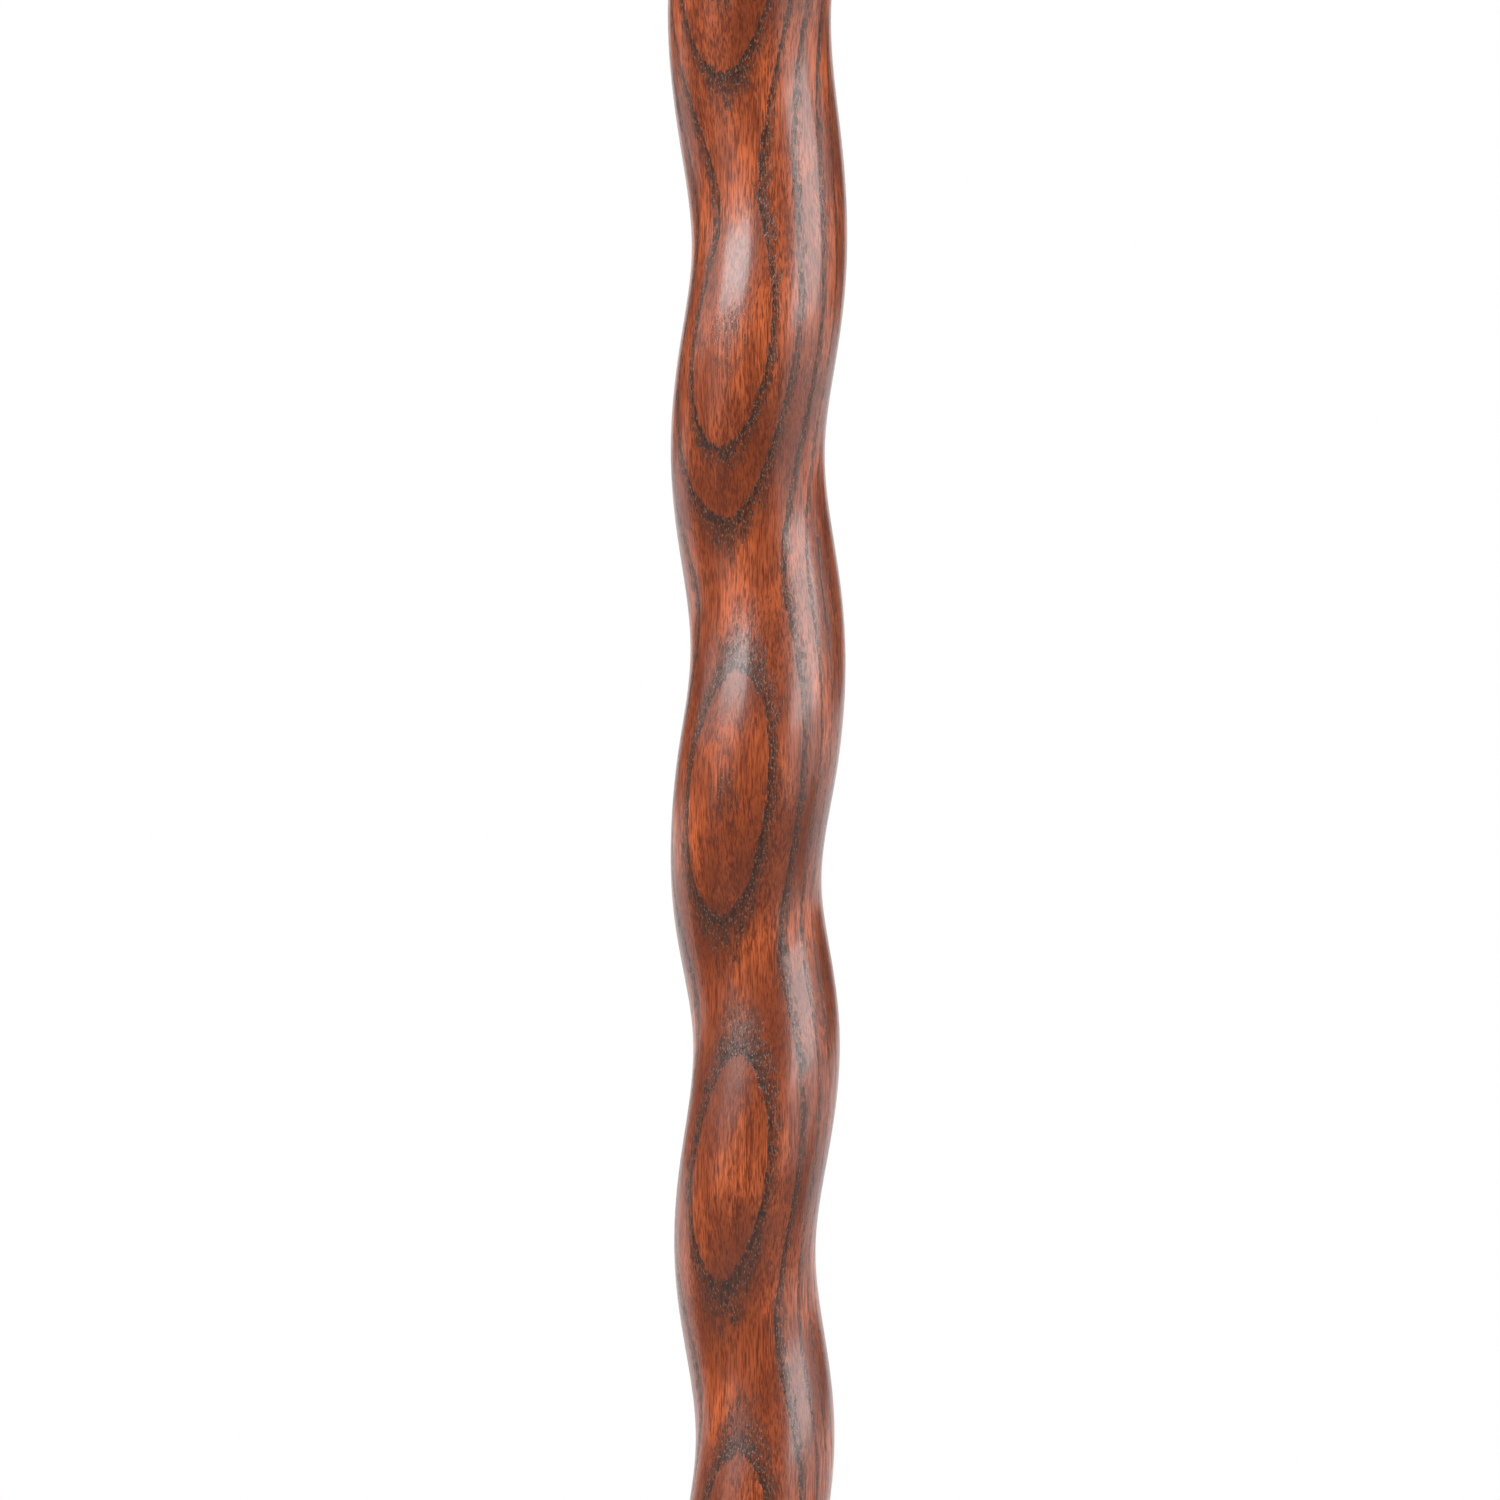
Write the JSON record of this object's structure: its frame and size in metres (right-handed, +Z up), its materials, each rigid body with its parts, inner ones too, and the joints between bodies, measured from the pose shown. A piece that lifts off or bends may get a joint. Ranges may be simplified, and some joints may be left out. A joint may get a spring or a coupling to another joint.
{
  "type": "walking stick",
  "caption": "Tapered wooden walking stick with a carved right-handed twist, a brass collar, a derby handle and a rubber ferrule.",
  "frame": {"origin": "centre of the rubber foot's sole", "axes": "+Z up the stick, +X the way the handle's nose points"},
  "size_m": [0.128, 0.037, 0.94],
  "materials": {
    "stained_wood": "red-brown stained ring-porous hardwood under a satin clear coat",
    "collar_brass": "brushed and lacquered brass",
    "stud_steel": "plain zinc-plated steel",
    "ferrule_rubber": "matt black rubber"
  },
  "bodies": {
    "stick": {"shaft": "stained_wood", "handle": "stained_wood", "collar": "collar_brass", "handle_stud": "stud_steel"},
    "tip": {"ferrule": "ferrule_rubber", "ferrule_washer": "stud_steel"}
  },
  "joints": [
    {"name": "ferrule_pull", "type": "slide", "parent": "stick", "child": "tip", "axis": [0, 0, -1], "range_m": [0, 0.05]}
  ]
}
